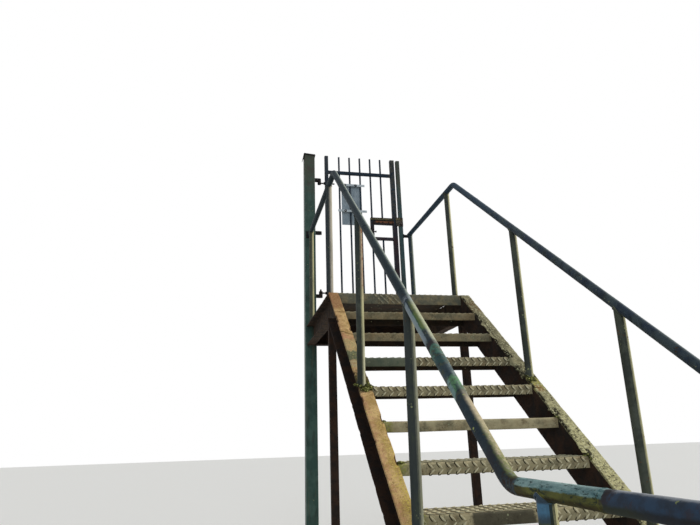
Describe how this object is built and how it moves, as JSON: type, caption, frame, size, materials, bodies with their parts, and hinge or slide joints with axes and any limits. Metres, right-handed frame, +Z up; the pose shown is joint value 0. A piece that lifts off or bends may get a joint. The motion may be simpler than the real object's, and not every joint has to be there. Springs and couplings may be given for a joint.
{
  "type": "bar gate with access steps",
  "caption": "Barred steel gate leaf hung between two posts at the head of a steel landing and flight of open-riser steps with bent tube handrails.",
  "frame": {"origin": "middle of the footprint, on the floor that the stringers, legs and posts stand on", "axes": "+Z up, +Y the way up the steps towards the gate, X across the flight"},
  "size_m": [1.0556, 4.7352, 3.6723],
  "materials": {
    "channel": "weathered paint over rust, with yellow lichen on the top flanges",
    "tread": "weathered raised-pattern plate, grey-olive with rust",
    "rail": "old grey-green paint, worn pale on top and rusted in patches",
    "rail_post": "old dark green paint with rust",
    "post": "old dark olive-green paint",
    "leaf": "old dark green paint",
    "rust": "dark red-brown rust",
    "plate": "dull bare metal"
  },
  "bodies": {
    "structure": {"left_stringer": "channel", "right_stringer": "channel", "left_landing_beam": "channel", "right_landing_beam": "channel", "rear_landing_beam": "channel", "landing_bearer": "channel", "left_landing_leg": "channel", "right_landing_leg": "channel", "landing_deck": "tread", "tread_01": "tread", "tread_02": "tread", "tread_03": "tread", "tread_04": "tread", "tread_05": "tread", "tread_06": "tread", "tread_07": "tread", "tread_08": "tread", "tread_09": "tread", "tread_10": "tread", "left_handrail": "rail", "right_handrail": "rail", "left_rail_post_1": "rail_post", "left_rail_post_2": "rail_post", "left_rail_post_3": "rail_post", "left_rail_post_4": "rail_post", "left_rail_post_5": "rail_post", "left_rail_post_6": "rail_post", "right_rail_post_1": "rail_post", "right_rail_post_2": "rail_post", "right_rail_post_3": "rail_post", "right_rail_post_4": "rail_post", "right_rail_post_5": "rail_post", "right_rail_post_6": "rail_post", "hinge_post": "post", "hinge_post_cap": "post", "latch_post": "post", "keeper": "rust", "rail_end_plate": "post", "rail_stub": "post", "top_hinge_hook": "post", "bottom_hinge_hook": "post", "spare_hinge_hook": "post"},
    "leaf": {"hinge_stile": "leaf", "lock_stile": "leaf", "leaf_bars": "leaf", "top_hinge_eye": "leaf", "bottom_hinge_eye": "leaf", "lock_frame": "rust", "lock_case": "rust", "latch_knob": "rust", "back_plate": "plate", "upper_plate_clamp": "plate", "lower_plate_clamp": "plate"}
  },
  "joints": [
    {"name": "gate_hinge", "type": "hinge", "parent": "structure", "child": "leaf", "pos_m": [-0.37725, 2.28727, 1.969], "axis": [0, 0, 1], "range_deg": [0, 95]}
  ]
}
